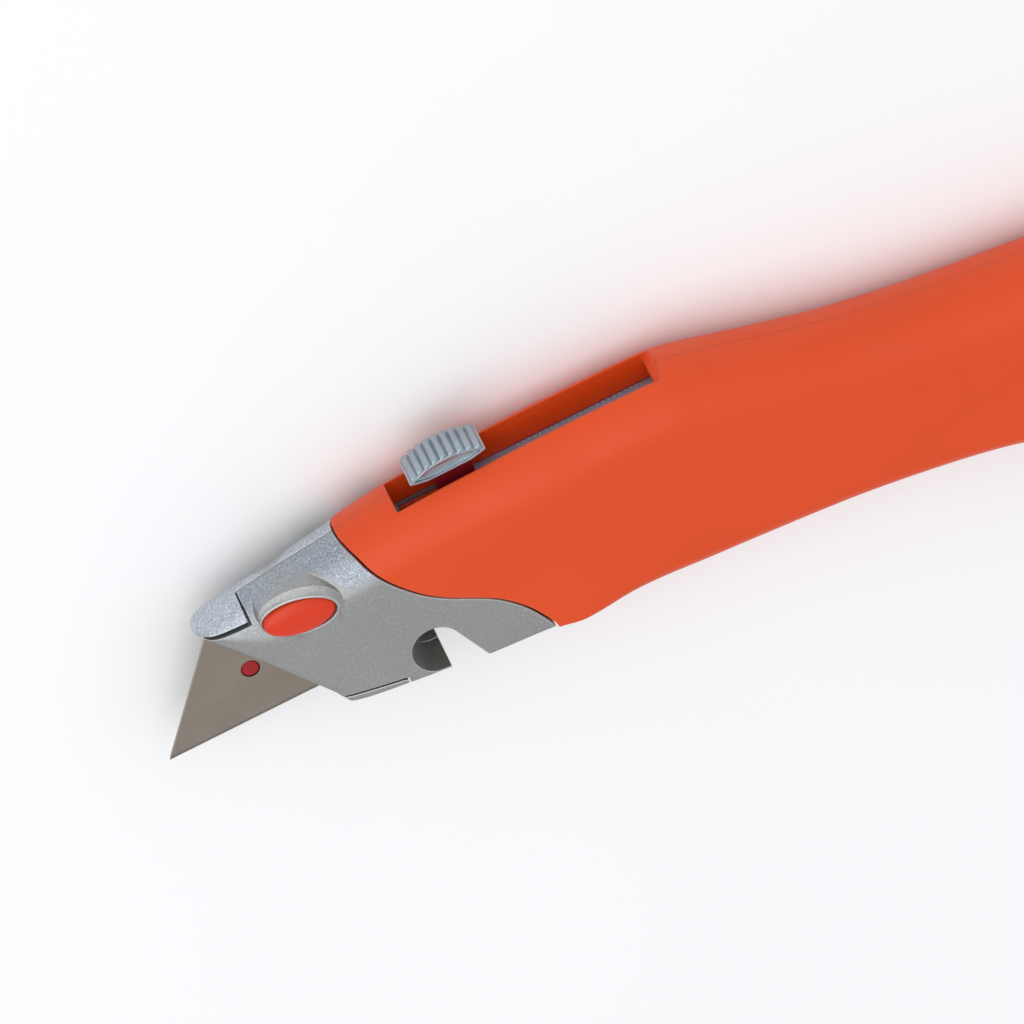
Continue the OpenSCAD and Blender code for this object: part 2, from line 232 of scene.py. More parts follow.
def new_object(name, verts, faces):
    mesh = bpy.data.meshes.new(name)
    mesh.from_pydata([tuple(v) for v in verts], [], faces)
    mesh.update()
    obj = bpy.data.objects.new(name, mesh)
    bpy.context.collection.objects.link(obj)
    return obj


def loft(name, rings):
    """A closed solid through rings that have the same number of points."""
    n = len(rings[0])
    verts = [v for ring in rings for v in ring]
    faces = [tuple(reversed(range(n)))]
    for i in range(len(rings) - 1):
        for j in range(n):
            a, b = i * n + j, i * n + (j + 1) % n
            faces.append((a, b, b + n, a + n))
    faces.append(tuple(range((len(rings) - 1) * n, len(rings) * n)))
    obj = new_object(name, verts, faces)
    tidy(obj, 1e-5)
    return obj


def outer_form(name, inset=0.0):
    """The solid form of nose, handle and tail in one."""
    return loft(name, [[(x, y, z) for y, z in section(x, inset)] for x in stations()])


def prism(name, outline, z0, z1):
    """An outline in X and Y, extruded from z0 to z1."""
    return loft(name, [[(x, y, z) for x, y in outline] for z in (z0, z1)])


def slab(name, x0, x1, y0, y1, z0, z1):
    return prism(name, [(x0, y0), (x1, y0), (x1, y1), (x0, y1)], z0, z1)


def circle(x, y, r, n=48):
    return [(x + r * math.cos(2 * math.pi * k / n), y + r * math.sin(2 * math.pi * k / n))
            for k in range(n)]


def oval(cx, cy, long_r, short_r, turn, n=72):
    """Points of an ellipse with its long axis turned from X."""
    c, s = math.cos(turn), math.sin(turn)
    out = []
    for k in range(n):
        a = 2 * math.pi * k / n
        u, v = long_r * math.cos(a), short_r * math.sin(a)
        out.append((cx + u * c - v * s, cy + u * s + v * c))
    return out


def lathe(name, profile, turns=48):
    """A solid turned about the Z axis, from (radius, height) pairs, both ends on the axis or joined."""
    rings = []
    for k in range(turns):
        a = 2 * math.pi * k / turns
        rings.append([(r * math.cos(a), r * math.sin(a), z) for r, z in profile])
    n = len(profile)
    faces = [(i * n + j, i * n + (j + 1) % n, ((i + 1) % turns) * n + (j + 1) % n,
              ((i + 1) % turns) * n + j) for i in range(turns) for j in range(n)]
    obj = new_object(name, [v for ring in rings for v in ring], faces)
    tidy(obj, 1e-5)
    return obj


def tidy(obj, gap=1e-4):
    """Merges doubles and turns the faces outwards."""
    bm = bmesh.new()
    bm.from_mesh(obj.data)
    bmesh.ops.remove_doubles(bm, verts=bm.verts, dist=gap)
    bmesh.ops.dissolve_degenerate(bm, edges=bm.edges, dist=gap)
    bmesh.ops.recalc_face_normals(bm, faces=bm.faces)
    bm.to_mesh(obj.data)
    bm.free()
    obj.data.update()


def settle(obj):
    """Turns the object's modifiers into plain mesh."""
    graph = bpy.context.evaluated_depsgraph_get()
    mesh = bpy.data.meshes.new_from_object(obj.evaluated_get(graph), depsgraph=graph)
    obj.modifiers.clear()
    old, obj.data = obj.data, mesh
    bpy.data.meshes.remove(old)


def combine(obj, others, operation):
    """A boolean of the object with each of the others, which are used up."""
    for other in others:
        step = obj.modifiers.new("cut", "BOOLEAN")
        step.operation = operation
        step.solver = "MANIFOLD"
        step.object = other
    settle(obj)
    for other in others:
        bpy.data.objects.remove(other, do_unlink=True)
    return obj


def cut(obj, *others):
    return combine(obj, others, "DIFFERENCE")


def soften(obj, width, angle=32, merge=0.06, segments=2):
    """Rounds the sharp edges and shades the rest smooth."""
    tidy(obj, merge)
    bevel = obj.modifiers.new("edges", "BEVEL")
    bevel.width = width
    bevel.segments = segments
    bevel.limit_method = "ANGLE"
    bevel.angle_limit = math.radians(angle)
    bevel.use_clamp_overlap = True
    bevel.miter_outer = "MITER_ARC"
    settle(obj)
    tidy(obj, 1e-4)
    return shade(obj)


def shade(obj, angle=38):
    """Smooth shading, with sharp edges above the angle."""
    obj.data.polygons.foreach_set("use_smooth", [True] * len(obj.data.polygons))
    obj.data.set_sharp_from_angle(angle=math.radians(angle))
    return obj


def place(obj):
    """From the drawing's millimetres to the frame's metres."""
    obj.data.transform(Matrix.Translation(ZERO) @ Matrix.Scale(MM, 4))
    obj.data.update()
    return obj


def in_magazine(obj):
    """From the magazine's own straight line to its place in the drawing."""
    obj.data.transform(Matrix.Translation(MAG) @ Matrix.Rotation(MAG_TILT, 4, "Z"))
    return obj


def finish_piece(obj, body, slot, finish, *nodes, edge=None):
    """Places a drawn piece, gives it its finish, attaches it to its body and hides the CAD parts that
    it replaces; the slot is not used.
    """
    place(obj)
    look = finishes()
    index = [face.material_index for face in obj.data.polygons]
    obj.data.materials.clear()
    obj.data.materials.append(look[finish])
    if edge:
        obj.data.materials.append(look[edge])
    obj.data.polygons.foreach_set("material_index", [min(i, 1) if edge else 0 for i in index])
    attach(obj, body)
    if nodes:
        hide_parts(*nodes)
    return obj


# ---- materials

def linear(colour):
    """An sRGB colour of three parts as the linear one that a shader takes."""
    return tuple(c / 12.92 if c <= 0.04045 else ((c + 0.055) / 1.055) ** 2.4
                 for c in colour) + (1.0,)


class Shader:
    """A material under construction, with short calls for the nodes that it needs."""

    def __init__(self, name, colour, metallic=0.0, roughness=0.5, **sockets):
        self.material = bpy.data.materials.get(name) or bpy.data.materials.new(name)
        self.material.use_nodes = True
        self.tree = self.material.node_tree
        self.tree.nodes.clear()
        self.out = self.node("ShaderNodeOutputMaterial")
        self.skin = self.node("ShaderNodeBsdfPrincipled")
        self.link(self.skin, "BSDF", self.out, "Surface")
        self.skin.inputs["Base Color"].default_value = linear(colour)
        self.skin.inputs["Metallic"].default_value = metallic
        self.skin.inputs["Roughness"].default_value = roughness
        for key, value in sockets.items():
            self.skin.inputs[key.replace("_", " ")].default_value = value
        self.place = self.node("ShaderNodeTexCoord")
        self.rounded = None

    def node(self, kind, **values):
        made = self.tree.nodes.new(kind)
        for key, value in values.items():
            if key in made.inputs:
                made.inputs[key].default_value = value
            else:
                setattr(made, key, value)
        return made

    def link(self, a, out, b, into):
        self.tree.links.new(a.outputs[out], b.inputs[into])

    def coordinates(self, scale=(1, 1, 1), turn=(0, 0, 0)):
        mapping = self.node("ShaderNodeMapping")
        mapping.inputs["Scale"].default_value = scale
        mapping.inputs["Rotation"].default_value = turn
        self.link(self.place, "Object", mapping, "Vector")
        return mapping

    def noise(self, size_mm, detail=2.0, stretch=(1, 1, 1), turn=(0, 0, 0), rough=0.5):
        """Noise whose features are size_mm across."""
        made = self.node("ShaderNodeTexNoise", Scale=1000.0 / size_mm, Detail=detail,
                         Roughness=rough)
        self.link(self.coordinates(stretch, turn), "Vector", made, "Vector")
        return made

    def cells(self, size_mm):
        made = self.node("ShaderNodeTexVoronoi", Scale=1000.0 / size_mm)
        self.link(self.coordinates(), "Vector", made, "Vector")
        return made

    def ramp(self, source, out, stops):
        made = self.node("ShaderNodeValToRGB")
        line = made.color_ramp
        while len(line.elements) < len(stops):
            line.elements.new(0.5)
        for element, (at, colour) in zip(line.elements, stops):
            element.position = at
            element.color = linear(colour)
        self.link(source, out, made, "Fac")
        return made

    def range(self, source, out, low, high, from_low=0.0, from_high=1.0):
        made = self.node("ShaderNodeMapRange")
        made.inputs["From Min"].default_value = from_low
        made.inputs["From Max"].default_value = from_high
        made.inputs["To Min"].default_value = low
        made.inputs["To Max"].default_value = high
        self.link(source, out, made, "Value")
        return made

    def mix(self, factor, out, a, b):
        """A colour mix, by the factor node's output; a and b are colours or nodes."""
        made = self.node("ShaderNodeMix", data_type="RGBA")
        self.link(factor, out, made, "Factor")
        for name, value in (("A", a), ("B", b)):
            socket = next(s for s in made.inputs if s.name == name and s.type == "RGBA")
            if isinstance(value, bpy.types.Node):
                self.tree.links.new(self.colour_of(value), socket)
            else:
                socket.default_value = linear(value)
        return made

    def colour_of(self, node):
        return next(s for s in node.outputs if s.type == "RGBA" and s.enabled)

    def colour_from(self, node):
        self.tree.links.new(self.colour_of(node), self.skin.inputs["Base Color"])

    def roughness_from(self, node, out="Result"):
        self.link(node, out, self.skin, "Roughness")

    def round_edges_with_painted_highlight(self, radius_mm, base, edge):
        """Rounds the sharp edges in the shading and paints a highlight there: the edge's colour laid
        over the base's.
        """
        soft = self.node("ShaderNodeBevel", samples=4, Radius=radius_mm * MM)
        true = self.node("ShaderNodeNewGeometry")
        both = self.node("ShaderNodeVectorMath", operation="DOT_PRODUCT")
        self.link(soft, "Normal", both, 0)
        self.link(true, "Normal", both, 1)
        # Where the rounded normal turns away from the true one, the edge's paler colour is laid on as a
        # painted highlight.
        painted_highlight_mask = self.range(both, "Value", 1.0, 0.0, 0.9, 0.995)
        self.colour_from(self.mix(painted_highlight_mask, "Result", base, edge))
        self.rounded = soft

    def bump(self, layers):
        """Height layers of (node, output, strength, distance in mm), one on the other."""
        before = self.rounded
        for source, out, strength, distance in layers:
            made = self.node("ShaderNodeBump", Strength=strength, Distance=distance * MM)
            self.link(source, out, made, "Height")
            if before:
                self.link(before, "Normal", made, "Normal")
            before = made
        self.link(before, "Normal", self.skin, "Normal")


def moulded(name, colour, edge, roughness, radius, grain=0.05):
    """Moulded plastic: a fine grain, slight flow marks, uneven gloss and a painted highlight along the
    edges, in the edge's colour.
    """
    s = Shader(name, colour, roughness=roughness, Specular_IOR_Level=0.35)
    flow = s.noise(14, 3, stretch=(0.5, 1, 1))
    s.round_edges_with_painted_highlight(radius, s.mix(flow, "Fac", tuple(c * 0.94 for c in colour), colour), edge)
    gloss = s.noise(5, 4)
    s.roughness_from(s.range(gloss, "Fac", roughness - 0.06, roughness + 0.07, 0.3, 0.7))
    fine, soft = s.noise(0.22, 2), s.noise(2.5, 2)
    s.bump([(fine, "Fac", 0.25, grain), (soft, "Fac", 0.1, 0.05)])
    return s.material


def cast_metal(name, colour, light, dark, edge, radius, painted_light_gain):
    """Die-cast metal: a fine satin on the sides, a blasted grain on the crown that faces the spine, and
    painted light: a lighter, cooler crown with glinting flakes, and edge highlights.
    """
    s = Shader(name, colour, metallic=0.8, roughness=0.4)
    crown = s.node("ShaderNodeAttribute", attribute_name="crown")
    flakes, dust = s.cells(0.13), s.noise(0.2, 3, rough=0.7)
    grain = s.node("ShaderNodeSeparateColor")
    s.link(flakes, "Color", grain, "Color")
    both = s.node("ShaderNodeMath", operation="MULTIPLY_ADD")
    both.inputs[1].default_value = 0.3
    s.link(grain, "Red", both, 0)
    s.link(dust, "Fac", both, 2)
    cloud = s.noise(7, 4)
    satin = s.mix(s.range(s.noise(0.3, 3), "Fac", 0.0, 1.0, 0.35, 0.65), "Result",
                  tuple(c * 0.94 for c in colour), tuple(c * 1.05 for c in colour))
    side = s.mix(s.range(cloud, "Fac", 0.0, 0.35, 0.35, 0.7), "Result", satin,
                 tuple(c * 0.95 for c in colour))
    cool = (colour[0] * 1.03, colour[1] * 1.07, colour[2] * 1.13)
    # The crown's tones are the blasted grain between pits and flakes, set lighter and cooler than the
    # sides as painted light, the flakes as painted glints; the gain scales this per copy.
    stops = ((0.42, dark), (0.6, cool), (0.78, tuple(c * 1.1 for c in cool)), (0.9, light))
    blasted_grain_and_painted_light = s.ramp(both, "Value", [(at, tuple(min(1.0, c * painted_light_gain) for c in tone))
                                     for at, tone in stops])
    # The crown attribute lays the crown's painted light over the sides; the edge colour goes on as a
    # painted highlight.
    s.round_edges_with_painted_highlight(radius, s.mix(crown, "Fac", side, blasted_grain_and_painted_light), edge)
    s.roughness_from(s.range(grain, "Green", 0.32, 0.5))
    relief = s.range(crown, "Fac", 0.12, 0.6)
    height = s.node("ShaderNodeMath", operation="MULTIPLY")
    s.link(both, "Value", height, 0)
    s.link(relief, "Result", height, 1)
    s.bump([(height, "Value", 0.6, 0.06), (s.noise(0.25, 3), "Fac", 0.25, 0.02),
            (s.noise(2.0, 2), "Fac", 0.1, 0.05)])
    return s.material


def brushed(name, colour, turn, roughness, metallic):
    """Steel with fine lines; turn swings them from the Y axis about Z."""
    s = Shader(name, colour, metallic=metallic, roughness=roughness)
    lines = s.noise(0.3, 3, stretch=(4.0, 0.1, 0.1), turn=(0, 0, turn))
    stain = s.noise(7, 4)
    tone = s.mix(stain, "Fac", tuple(c * 0.88 for c in colour), colour)
    s.colour_from(tone)
    s.roughness_from(s.range(lines, "Fac", roughness - 0.05, roughness + 0.06, 0.3, 0.7))
    s.bump([(lines, "Fac", 0.12, 0.02)])
    return s.material


def plated(name, colour, roughness):
    """Bright plated metal, faintly uneven."""
    s = Shader(name, colour, metallic=1.0, roughness=roughness)
    cloud, fine = s.noise(2.2, 4), s.noise(0.3, 2)
    s.colour_from(s.mix(cloud, "Fac", tuple(c * 0.85 for c in colour), colour))
    s.roughness_from(s.range(cloud, "Fac", roughness - 0.06, roughness + 0.14, 0.3, 0.7))
    s.bump([(fine, "Fac", 0.12, 0.02), (cloud, "Fac", 0.1, 0.05)])
    return s.material


def finishes():
    """Every finish of the knife by its short name."""
    c, sizes = bpy.context.scene.knife_colours, bpy.context.scene.knife_sizes
    # Every finish lays its edge colour on its edges as a painted highlight; where that colour is the
    # base colour, nothing shows.
    return {
        "handle": moulded("orange_moulding", c.handle, c.handle_edge_highlight, 0.42, sizes.shell_edge),
        # The two nose halves take darker and lighter copies of one cast metal: painted shade on the
        # left half, painted light on the right half with its tip.
        "nose": cast_metal("cast_metal_painted_darker", c.nose, c.flake, c.pit, c.nose_edge,
                           sizes.nose_edge, 0.91),
        "tip": cast_metal("cast_metal_painted_lighter", c.nose, c.flake, c.pit, c.nose_edge,
                          sizes.nose_edge, 1.07),
        "button": moulded("red_button", c.button, c.button, 0.3, 0.1, 0.02),
        "carrier": moulded("red_moulding", c.carrier, c.carrier, 0.4, 0.15),
        # The slider's stem is the red moulding darkened as painted shade, where it stands down in the
        # slot.
        "stem": moulded("red_moulding_in_painted_shade", c.stem, c.stem, 0.35, 0.15),
        "tray": moulded("black_moulding", c.tray, c.tray, 0.5, 0.2),
        "blade": brushed("ground_blade_steel", c.blade, 0.0, 0.36, 0.9),
        "edge": brushed("honed_edge_steel", c.edge, 0.0, 0.3, 0.9),
        "cap": plated("plated_cap", c.cap, 0.2),
        "strip": brushed("rolled_strip_steel", c.strip, math.pi / 2, 0.34, 0.45),
        "screw": plated("dark_screw_steel", c.screw, 0.34),
    }


# ---- geometry node rows

def row_tree():
    """Copies of the modifier's own mesh in a row that may follow an arc about Z."""
    tree = bpy.data.node_groups.get("row_of_copies")
    if tree:
        return tree
    tree = bpy.data.node_groups.new("row_of_copies", "GeometryNodeTree")
    face = tree.interface
    face.new_socket("Geometry", in_out="INPUT", socket_type="NodeSocketGeometry")
    face.new_socket("Count", in_out="INPUT", socket_type="NodeSocketInt")
    face.new_socket("Start", in_out="INPUT", socket_type="NodeSocketVector")
    face.new_socket("Step", in_out="INPUT", socket_type="NodeSocketVector")
    face.new_socket("First Angle", in_out="INPUT", socket_type="NodeSocketFloat")
    face.new_socket("Angle Step", in_out="INPUT", socket_type="NodeSocketFloat")
    face.new_socket("Material", in_out="INPUT", socket_type="NodeSocketMaterial")
    face.new_socket("Geometry", in_out="OUTPUT", socket_type="NodeSocketGeometry")
    add, link = tree.nodes.new, tree.links.new
    given, made = add("NodeGroupInput"), add("NodeGroupOutput")
    line = add("GeometryNodeMeshLine")
    line.mode = "OFFSET"
    link(given.outputs["Count"], line.inputs["Count"])
    link(given.outputs["Start"], line.inputs["Start Location"])
    link(given.outputs["Step"], line.inputs["Offset"])
    index = add("GeometryNodeInputIndex")
    turn = add("ShaderNodeMath")
    turn.operation = "MULTIPLY_ADD"
    link(index.outputs["Index"], turn.inputs[0])
    link(given.outputs["Angle Step"], turn.inputs[1])
    link(given.outputs["First Angle"], turn.inputs[2])
    spin = add("ShaderNodeCombineXYZ")
    link(turn.outputs[0], spin.inputs["Z"])
    copies = add("GeometryNodeInstanceOnPoints")
    link(line.outputs["Mesh"], copies.inputs["Points"])
    link(given.outputs["Geometry"], copies.inputs["Instance"])
    link(spin.outputs[0], copies.inputs["Rotation"])
    real = add("GeometryNodeRealizeInstances")
    link(copies.outputs["Instances"], real.inputs["Geometry"])
    paint = add("GeometryNodeSetMaterial")
    link(real.outputs["Geometry"], paint.inputs["Geometry"])
    link(given.outputs["Material"], paint.inputs["Material"])
    link(paint.outputs["Geometry"], made.inputs["Geometry"])
    return tree


def repeat(obj, count, start=(0, 0, 0), step=(0, 0, 0), first=0.0, turn=0.0, material=None):
    """Repeats the object's mesh with the node tree and keeps the result as plain mesh."""
    tree = row_tree()
    copies = obj.modifiers.new("row", "NODES")
    copies.node_group = tree
    values = {"Count": count, "Start": start, "Step": step, "First Angle": first,
              "Angle Step": turn, "Material": material}
    for item in tree.interface.items_tree:
        if item.in_out == "INPUT" and item.name in values:
            copies[item.identifier] = values[item.name]
    settle(obj)
    return obj


# ---- shapes that pieces share

def seam_line(shift):
    """The seam as a smooth line from the spine to the belly, moved along X."""
    across = smooth_line([(-y, x) for x, y in SEAM])
    return [(across(-26.5 + 32.5 * k / 90) + shift, 26.5 - 32.5 * k / 90) for k in range(91)]


def front_zone(grow=0.0):
    """Everything in front of the seam, moved forward by grow."""
    line = seam_line(-grow)
    return [(-60.0, 40.0), (line[0][0], 40.0)] + line + [(line[-1][0], -40.0), (-60.0, -40.0)]


def rear_zone(grow=0.0):
    """Everything behind the seam as far as the tail cap."""
    line = seam_line(grow)
    along = Vector((math.cos(MAG_TILT), math.sin(MAG_TILT)))
    across = Vector((-along.y, along.x))
    end = MAG.xy + along * MAG_CUT
    high, low = end + across * 40, end - across * 40
    return [(line[0][0], 40.0)] + line + [(line[-1][0], -40.0), tuple(low), tuple(high)]


def tip_zone(below=0.0, behind=0.0):
    """The rounded tip, which belongs to the right half on both sides."""
    return [(-60, 20.1 - below), (-8.1 + behind, 20.1 - below), (-7.75 + behind, 40), (-60, 40)]


def lip_zone(gap=0.0):
    """The lip at the belly, which belongs to the right half on both sides."""
    return [(-1.3 - gap, -9), (9.3 + gap, -9), (9.3 + gap, -0.75 + gap), (8.9 + gap, -0.5 + gap),
            (0.9, 0.62 + gap), (-0.2 - gap, 0.9 + gap), (-1.3 - gap, 2.6 + gap)]


def blade_slot():
    """The slot that the blade slides in, through nose and handle."""
    return slab("slot", -60, 64.5, -0.4, 19.4, -SLOT_HALF, SLOT_HALF)


def arm_room():
    """The room for the carrier's arm beside the blade."""
    return slab("arm_room", -60, 64.5, 6.85, 13.9, -2.4, 0.1)


def block_room():
    """The room for the carrier's block along the handle."""
    return prism("block_room", [(18.8, 18.2), (30.6, 2.4), (31.4, 1.6), (64.5, 1.6),
                                (64.5, 20.45), (18.8, 20.45)], -3.7, 3.7)


def screw_seat(x, y, z):
    """The counterbore from the right side for a screw's head."""
    return prism("seat", circle(x, y, SEAT_RADIUS), -FAR, z)


def string_notch():
    """The hooked notch, drawn as one outline: round inside, with a straight way in."""
    start, end = math.radians(-79.5), math.radians(-333)
    arc = [(15.3 + 4 * math.cos(a), 2.2 + 4 * math.sin(a))
           for a in (start + (end - start) * k / 40 for k in range(41))]
    return prism("notch", arc + [(21.9, -2.9), (25.2, -9), (16.05, -9)], -FAR, FAR)


# ---- settings

class KnifeColours(bpy.types.PropertyGroup):
    """Colours of the knife's finishes, in sRGB."""

    def tint(label, about, value):
        return FloatVectorProperty(name=label, description=about, subtype="COLOR_GAMMA",
                                   size=3, min=0, max=1, default=value)

    handle: tint("Handle", "Moulded handle shells", (0.885, 0.29, 0.07))
    # The handle's edge colour is a paler orange, laid on the shells' edges as a painted highlight.
    handle_edge_highlight: tint("Handle edge", "Rounded edges of the shells", (0.90, 0.36, 0.21))
    button: tint("Button", "Oval release button", (0.86, 0.22, 0.08))
    nose: tint("Nose", "Cast metal of the nose", (0.63, 0.63, 0.625))
    # The nose's edge colour is a pale grey, laid on the nose's edges as a painted highlight.
    nose_edge: tint("Nose edge", "Bright rounded edges of the nose", (0.86, 0.86, 0.84))
    # The bright flakes are the blasted grain, made brighter as painted glints.
    flake: tint("Flakes", "Bright grains of the nose's blasted crown", (0.93, 0.96, 1.0))
    pit: tint("Pits", "Dark grains of the nose's blasted crown", (0.50, 0.53, 0.57))
    blade: tint("Blade", "Flat of the blade", (0.63, 0.585, 0.535))
    edge: tint("Edge", "Ground bevel of the blade", (0.54, 0.50, 0.45))
    carrier: tint("Carrier", "Blade carrier", (0.64, 0.08, 0.10))
    # The stem's colour is a darkened red: painted shade where it stands in the slot.
    stem: tint("Stem", "Slider stem in the slot", (0.42, 0.05, 0.09))
    cap: tint("Thumb cap", "Plated thumb cap", (0.69, 0.74, 0.775))
    strip: tint("Strip", "Steel strip in the slot", (0.66, 0.68, 0.76))
    screw: tint("Screws", "Screws and pins", (0.32, 0.32, 0.34))
    tray: tint("Tray", "Magazine tray", (0.10, 0.10, 0.11))


class KnifeSizes(bpy.types.PropertyGroup):
    """Sizes that the visible pieces take, in millimetres."""

    shell_edge: FloatProperty(name="Shell edge", description="Rounding of the handle's edges",
                              default=0.4, min=0.1, max=0.6)
    nose_edge: FloatProperty(name="Nose edge", description="Rounding of the nose's edges",
                             default=0.28, min=0.1, max=0.6)
    seam_gap: FloatProperty(name="Seam gap", description="Half the gap between nose and handle",
                            default=0.2, min=0.05, max=0.3)
    half_gap: FloatProperty(name="Half gap", description="Gap from the middle plane to a nose half",
                            default=0.13, min=0.02, max=0.15)
    grind: FloatProperty(name="Grind", description="Height of the blade's ground bevel",
                         default=0.7, min=0.4, max=1.8)
    nose_inset: FloatProperty(name="Nose inset", description="How far the nose lies under the handle",
                              default=0.22, min=0.0, max=0.5)
    ribs: IntProperty(name="Ribs", description="Ribs on the thumb cap", default=9, min=5, max=10)
    teeth: IntProperty(name="Teeth", description="Detent teeth on the steel strip",
                       default=22, min=5, max=30)


# ---- operators

class KnifePiece:
    """What every operator of this add-on shares."""

    bl_options = {"REGISTER", "UNDO"}

    @property
    def sizes(self):
        return bpy.context.scene.knife_sizes


class KNIFE_OT_handle(KnifePiece, bpy.types.Operator):
    """Build the two moulded handle shells"""

    bl_idname = "knife.handle"
    bl_label = "Handle Shells"

    def shell(self, name, side):
        low, high = (0.0, FAR) if side > 0 else (-FAR, 0.0)
        gap = 0.03 * side
        obj = outer_form(name)
        combine(obj, [prism("zone", rear_zone(self.sizes.seam_gap), low + gap, high + gap)],
                "INTERSECT")
        magazine = in_magazine(slab("magazine", -2.3, 90, -10.9, 10.9, -2.9, 2.9))
        hollow = prism("slot_way", [(19, 20.6), (61.8, 20.6), (61.8, 25.0), (63.4, 26.3),
                                    (66.5, 40), (19, 40)], -3.85, 3.85)
        groove = slab("groove", 17.8, 64.2, 20.4, 21.4, -5.7, 5.7)
        cord = prism("cord_hole", circle(*LANYARD, 2.72), -FAR, FAR)
        cut(obj, blade_slot(), arm_room(), block_room(), hollow, groove, magazine, cord)
        chamfer(obj, [p for p in seam_line(self.sizes.seam_gap)
                      if belly_at(p[0]) < p[1] < spine_at(p[0]) - 0.4], BREAK, 0.0, side)
        if side < 0:
            cut(obj, *[screw_seat(*seat) for seat in HANDLE_SCREWS])
        tidy(obj, 0.02)
        shade(obj)
        return finish_piece(obj, "body", "handle_plastic", "handle", name)

    def execute(self, context):
        self.shell("handle_left", 1)
        self.shell("handle_right", -1)
        return {"FINISHED"}


def mark_crown(obj, front=-60):
    """Stores how far up the rounded crown each point lies. The metal's blasted grain and its painted
    light, a lighter crown, follow it.
    """
    layer = obj.data.attributes.new("crown", "FLOAT", "POINT")
    for point, vertex in zip(layer.data, obj.data.vertices):
        x, y = vertex.co.x, vertex.co.y
        top, _, _, height = limits(x, 0.0)
        beyond = math.hypot((x - BOSS[0]) / (BOSS_LONG + 0.55),
                            (y - BOSS[1]) / (BOSS_SHORT + 0.45))
        outside = blend(beyond, 0.97, 1.08) * (1.0 if x > front or y > 19.6 else 0.5)
        point.value = blend((y - top + height) / height, 0.06, 0.4) * outside


class KNIFE_OT_nose(KnifePiece, bpy.types.Operator):
    """Build the two halves of the cast metal nose"""

    bl_idname = "knife.nose"
    bl_label = "Nose Halves"

    def around_button(self, name, profile):
        """An oval solid around the button, from (distance beyond it, height over the side)."""
        rings = []
        for w, rise in profile:
            outline = oval(*BUTTON, BUTTON_LONG + w, BUTTON_SHORT + w, BUTTON_TURN)
            rings.append([(x, y, half_at(x) + rise) for x, y in outline])
        return loft(name, rings)

    def cover(self):
        """The left half, with the boss around the button."""
        s = self.sizes
        obj = outer_form("nose_left", s.nose_inset)
        combine(obj, [prism("zone", front_zone(s.seam_gap), s.half_gap, FAR)], "INTERSECT")
        boss = loft("boss", [[(x, y, half_at(x) + rise) for x, y in
                              oval(*BOSS, BOSS_LONG + w, BOSS_SHORT + w, BUTTON_TURN)]
                             for w, rise in ((0.9, -5.0), (0.3, -1.0), (0.1, -0.3), (-0.3, -0.06))])
        combine(obj, [boss], "UNION")
        cut(obj, prism("tip", tip_zone(0.55, 0.3), -1, FAR),
            prism("lip", lip_zone(0.22), -1, FAR))
        gap = s.seam_gap
        for line in (seam_line(-gap), between([(-7.8, 19.55), (-7.45, 40)]),
                     between(lip_zone(0.22)[2:])):
            chamfer(obj, [p for p in line if p[1] < spine_at(p[0]) - 0.4], BREAK, s.nose_inset)
        rim = self.around_button("rim", ((0.45, -3.0), (0.45, -0.1), (0.4, 0.0), (0.32, 0.05),
                                         (0.25, 0.06)))
        combine(obj, [rim], "UNION")
        hole = self.around_button("hole", ((0.1, -12.0), (0.1, -0.08), (0.14, 0.0),
                                           (0.2, 0.05), (0.27, 0.09)))
        cut(obj, hole, blade_slot(), block_room(), string_notch())
        tidy(obj, 0.02)
        shade(obj)
        mark_crown(obj, -5)
        return finish_piece(obj, "body", "nose_metal", "nose", "nose_left")

    def frame_half(self):
        """The right half, which also carries the tip and the lip at the belly."""
        s = self.sizes
        obj = outer_form("nose_right", s.nose_inset)
        zone = prism("zone", front_zone(s.seam_gap), -FAR, -s.half_gap)
        combine(zone, [prism("tip", tip_zone(), -1, FAR), prism("lip", lip_zone(), -1, FAR)],
                "UNION")
        combine(obj, [zone], "INTERSECT")
        for line in (between(tip_zone()[1:3]), between([(-15.6, 20.1), (-8.1, 20.1)])):
            chamfer(obj, [p for p in line if p[1] < spine_at(p[0]) - 0.3], BREAK, s.nose_inset)
        pin_way = prism("pin_way", circle(*BUTTON_PIN, 0.9), -1.6, 2)
        cut(obj, blade_slot(), arm_room(), block_room(), string_notch(), screw_seat(*NOSE_SCREW),
            pin_way)
        tidy(obj, 0.02)
        shade(obj)
        mark_crown(obj)
        return finish_piece(obj, "body", "nose_metal", "tip", "nose_right")

    def execute(self, context):
        self.cover()
        self.frame_half()
        return {"FINISHED"}


class KNIFE_OT_release_button(KnifePiece, bpy.types.Operator):
    """Build the domed oval release button"""

    bl_idname = "knife.release_button"
    bl_label = "Release Button"

    def execute(self, context):
        rings = []
        for scale, z in ((1.0, 3.3), (1.0, 6.75), (0.99, 6.9), (0.965, 7.02), (0.9, 7.18),
                         (0.78, 7.34), (0.62, 7.46), (0.44, 7.54), (0.24, 7.59), (0.08, 7.6)):
            outline = oval(*BUTTON, BUTTON_LONG * scale, BUTTON_SHORT * scale, BUTTON_TURN)
            rings.append([(x, y, z) for x, y in outline])
        obj = shade(loft("release_button", rings), 60)
        finish_piece(obj, "release_button", "button_plastic", "button", "release_button")
        return {"FINISHED"}


